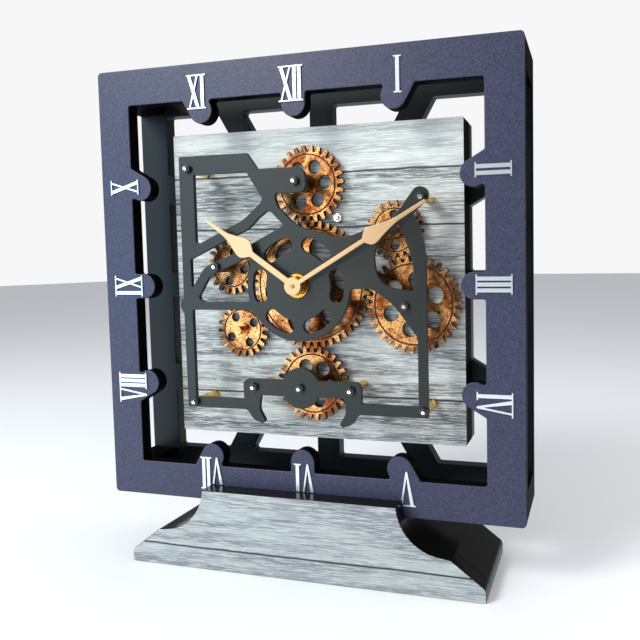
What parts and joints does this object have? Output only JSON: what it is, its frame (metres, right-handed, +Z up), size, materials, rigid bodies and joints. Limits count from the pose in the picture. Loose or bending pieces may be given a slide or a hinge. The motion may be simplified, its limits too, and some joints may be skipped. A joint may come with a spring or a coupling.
{
  "type": "skeleton gear table clock",
  "caption": "Square open-frame table clock with raised Roman numerals, a skeleton plate over meshed copper toothed wheels, and a flared plinth.",
  "frame": {"origin": "middle of the base's underside, on the table", "axes": "+Z up, +Y from the dial into the clock so that the dial faces -Y, +X to the right seen from the front"},
  "size_m": [0.3, 0.068, 0.344],
  "materials": {
    "frame_paint": "satin navy-slate paint with a fine speckle",
    "back_paint": "satin black paint",
    "printed_board": "pale grey weathered plank print, black edges",
    "base_board": "pale grey plank print in front, black edges",
    "base_gloss": "gloss black lacquer",
    "screw_black": "black oxide",
    "numeral_silver": "satin silver",
    "plate_paint": "satin slate paint",
    "post_brass": "bright",
    "washer_brass": "polished",
    "hand_gold": "satin pale gold",
    "dark_steel": "dark",
    "bolt_steel": "bright",
    "nut_black": "black",
    "wheel_copper": "mottled copper, dark tooth edges",
    "plastic_black": "matt",
    "plastic_grey": "matt",
    "cell_jacket": "plain printed jacket, steel ends",
    "switch_metal": "tinned",
    "wire_red": "insulated"
  },
  "bodies": {
    "clock_case": {"front_frame": "frame_paint", "corner_block_bottom_left": "frame_paint", "corner_block_bottom_right": "frame_paint", "corner_block_top_left": "frame_paint", "corner_block_top_right": "frame_paint", "back_frame": "back_paint", "board_spacer": "back_paint", "wood_board": "printed_board", "base_front_board": "base_board", "base_core": "base_gloss", "base_back_board": "base_gloss", "frame_screws": "screw_black", "panel_screws": "screw_black", "base_screws": "screw_black", "hour_numerals": "numeral_silver", "skeleton_plate": "plate_paint", "plate_posts": "post_brass", "axle_sleeves": "post_brass", "axle_spacers": "dark_steel", "centre_spacer": "dark_steel", "centre_sleeve": "post_brass", "plate_bolts": "bolt_steel", "board_screw": "bolt_steel", "plate_nuts": "nut_black", "board_nut": "bolt_steel", "stub_axle": "post_brass", "stub_cap": "dark_steel", "movement_bush": "post_brass", "centre_washer": "washer_brass", "centre_nut": "washer_brass", "movement_case": "plastic_black", "movement_cell": "cell_jacket", "wheel_motor": "plastic_grey", "cell_holder": "plastic_black", "holder_cell": "cell_jacket", "slide_switch": "switch_metal", "motor_wires": "wire_red"},
    "centre_wheel": {"wheel_centre": "wheel_copper"},
    "top_wheel": {"wheel_top": "wheel_copper"},
    "left_wheel": {"wheel_left": "wheel_copper"},
    "lower_left_wheel": {"wheel_lower_left": "wheel_copper", "motor_shaft": "bolt_steel"},
    "bottom_wheel": {"wheel_bottom": "wheel_copper"},
    "right_wheel": {"wheel_right": "wheel_copper"},
    "upper_right_wheel": {"wheel_upper_right": "wheel_copper"},
    "minute": {"minute_hand": "hand_gold"},
    "hour": {"hour_hand": "hand_gold"},
    "knob": {"set_knob": "plastic_grey"},
    "slider": {"switch_slider": "plastic_black"}
  },
  "joints": [
    {"name": "centre_wheel_turn", "type": "hinge", "parent": "clock_case", "child": "centre_wheel", "pos_m": [0, -0.0025, 0.194], "axis": [0, 1, 0], "continuous": true},
    {"name": "top_wheel_turn", "type": "hinge", "parent": "clock_case", "child": "top_wheel", "pos_m": [0, -0.0025, 0.26244], "axis": [0, 1, 0], "continuous": true},
    {"name": "left_wheel_turn", "type": "hinge", "parent": "clock_case", "child": "left_wheel", "pos_m": [-0.06048, -0.0025, 0.20708], "axis": [0, 1, 0], "continuous": true},
    {"name": "lower_left_wheel_turn", "type": "hinge", "parent": "clock_case", "child": "lower_left_wheel", "pos_m": [-0.05309, -0.0025, 0.16223], "axis": [0, 1, 0], "continuous": true},
    {"name": "bottom_wheel_turn", "type": "hinge", "parent": "clock_case", "child": "bottom_wheel", "pos_m": [0, -0.0025, 0.12556], "axis": [0, 1, 0], "continuous": true},
    {"name": "right_wheel_turn", "type": "hinge", "parent": "clock_case", "child": "right_wheel", "pos_m": [0.07384, -0.0025, 0.18085], "axis": [0, 1, 0], "continuous": true},
    {"name": "upper_right_wheel_turn", "type": "hinge", "parent": "clock_case", "child": "upper_right_wheel", "pos_m": [0.06185, -0.0025, 0.23003], "axis": [0, 1, 0], "continuous": true},
    {"name": "minute_hand_turn", "type": "hinge", "parent": "clock_case", "child": "minute", "pos_m": [0, -0.029, 0.194], "axis": [0, 1, 0], "continuous": true},
    {"name": "hour_hand_turn", "type": "hinge", "parent": "clock_case", "child": "hour", "pos_m": [0, -0.027, 0.194], "axis": [0, 1, 0], "continuous": true},
    {"name": "set_knob_turn", "type": "hinge", "parent": "clock_case", "child": "knob", "pos_m": [0, 0.026, 0.208], "axis": [0, 1, 0], "continuous": true},
    {"name": "switch_slide", "type": "slide", "parent": "clock_case", "child": "slider", "axis": [1, 0, 0], "range_m": [0, 0.002]}
  ],
  "couplings": [
    {"joint": "top_wheel_turn", "follows": "centre_wheel_turn", "ratio": -1.7037},
    {"joint": "left_wheel_turn", "follows": "centre_wheel_turn", "ratio": -2.3},
    {"joint": "lower_left_wheel_turn", "follows": "centre_wheel_turn", "ratio": -2.3},
    {"joint": "bottom_wheel_turn", "follows": "centre_wheel_turn", "ratio": -1.7037},
    {"joint": "right_wheel_turn", "follows": "centre_wheel_turn", "ratio": -1.3529},
    {"joint": "upper_right_wheel_turn", "follows": "centre_wheel_turn", "ratio": 2.3},
    {"joint": "hour_hand_turn", "follows": "minute_hand_turn", "ratio": 0.083333},
    {"joint": "set_knob_turn", "follows": "minute_hand_turn", "ratio": -0.33333}
  ]
}
